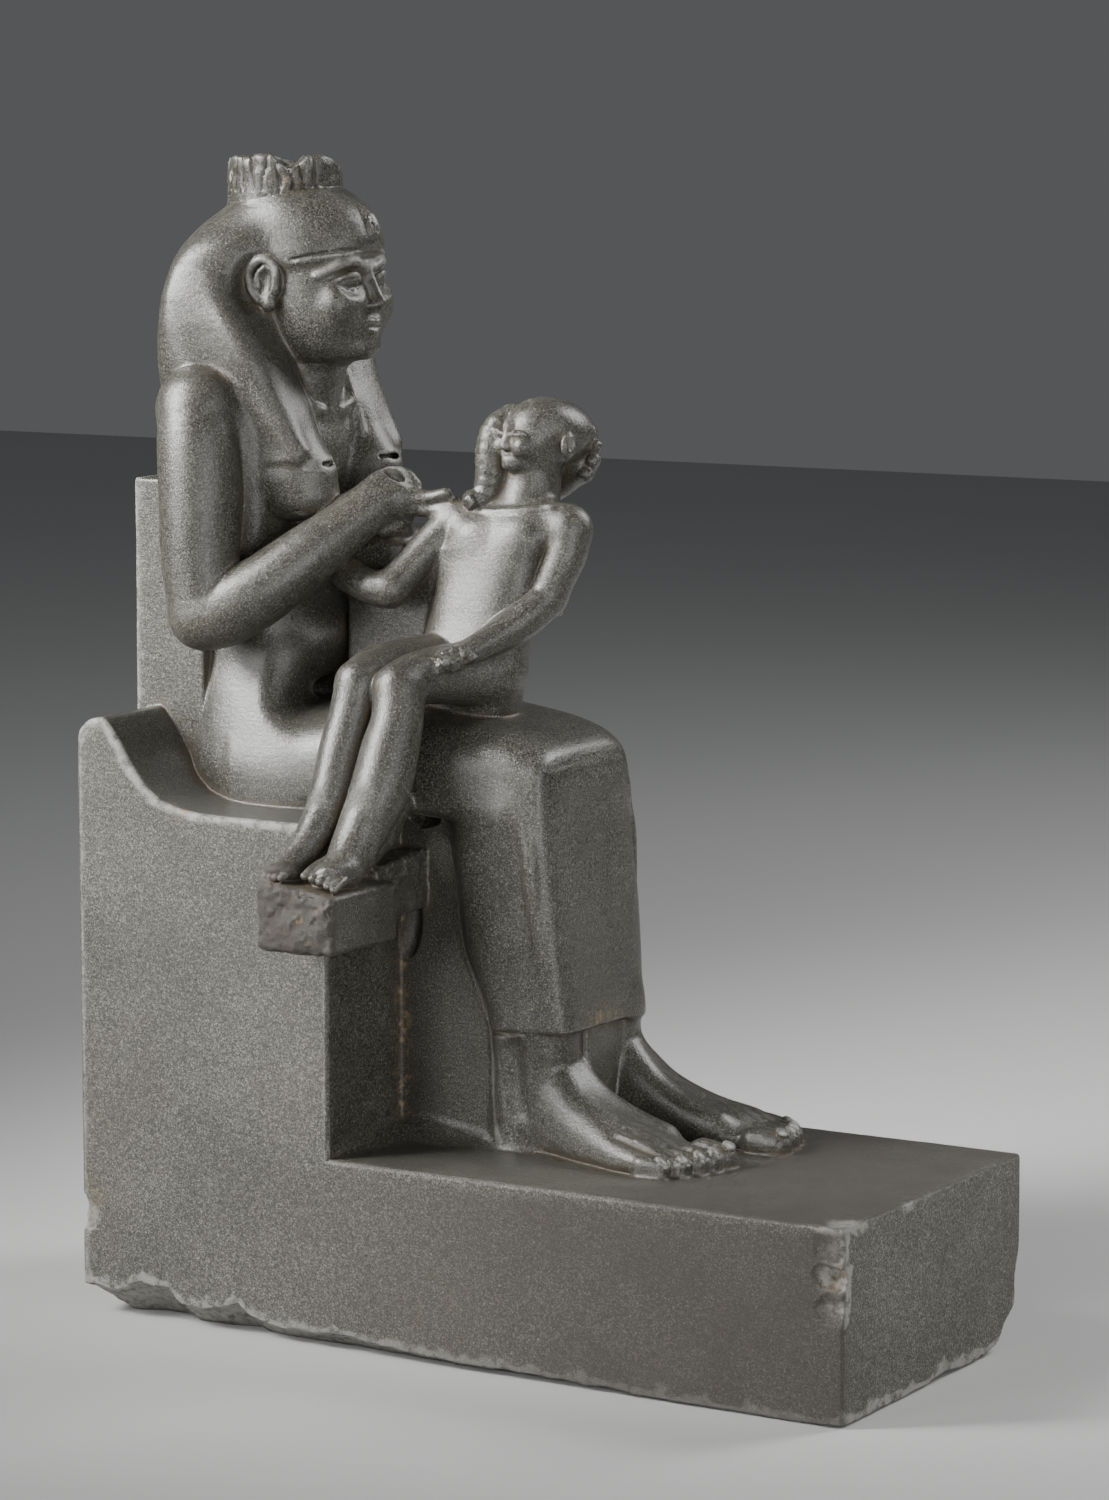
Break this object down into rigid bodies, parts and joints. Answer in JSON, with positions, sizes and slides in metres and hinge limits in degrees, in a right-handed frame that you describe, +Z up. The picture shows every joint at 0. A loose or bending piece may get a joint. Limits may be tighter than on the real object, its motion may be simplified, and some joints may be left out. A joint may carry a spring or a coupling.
{
  "type": "isis and horus figure",
  "caption": "Carved stone statue of a throned goddess nursing a naked child on her lap, with a high throne block, back pillar, foot bracket and long base.",
  "frame": {"origin": "centre of the underside of the base, which rests on the table", "axes": "+Z up; the goddess faces -Y, so the base is longest along Y; her right side, where the child's feet hang, is -X"},
  "size_m": [0.1682, 0.313, 0.419],
  "materials": {
    "stone": "dark grey-green fine-grained stone with a satin polish, worn pale at the edges"
  },
  "bodies": {
    "root": {"isis_and_horus_statue": "stone"}
  },
  "joints": []
}
